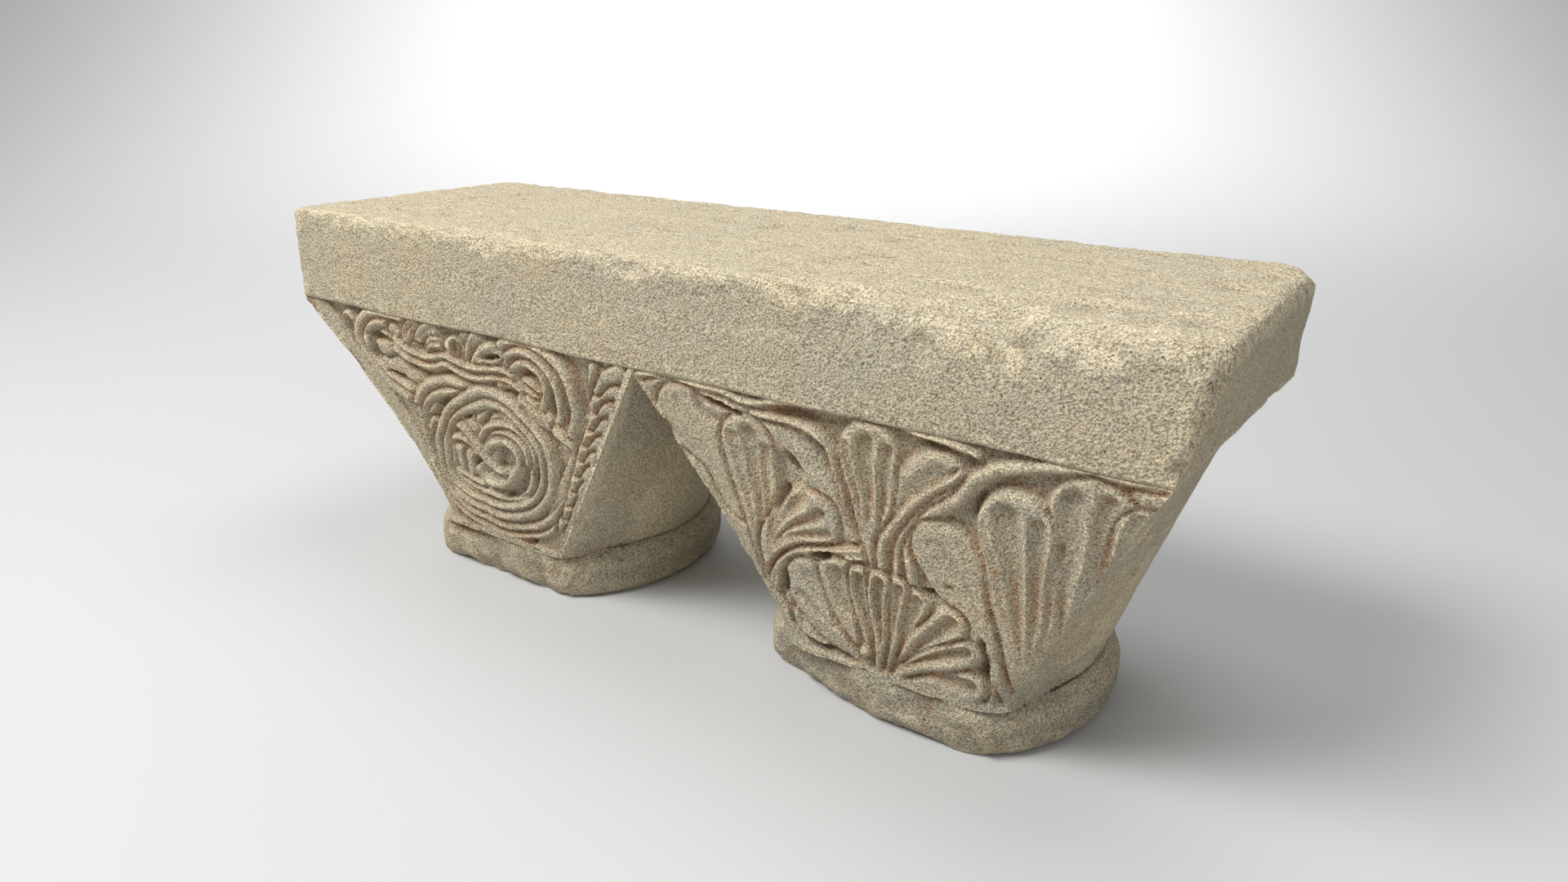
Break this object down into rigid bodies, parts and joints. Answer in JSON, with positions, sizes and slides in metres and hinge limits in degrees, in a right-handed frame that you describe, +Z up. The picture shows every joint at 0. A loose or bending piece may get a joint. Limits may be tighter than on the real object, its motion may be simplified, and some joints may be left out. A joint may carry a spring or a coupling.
{
  "type": "twin capital",
  "caption": "Stone slab carried by a pair of carved bells that narrow to round necks, cut from one block to top a pair of colonnettes.",
  "frame": {"origin": "middle of the block on the plane of the two neck undersides", "axes": "+X along the slab's length, towards the end bell with the palmettes; -Y is the carved front; +Z up"},
  "size_m": [0.6796, 0.227, 0.263],
  "materials": {
    "stone": "matte, sugary grain, rust-brown staining in the carving"
  },
  "bodies": {
    "root": {"twin_capital": "stone"}
  },
  "joints": []
}
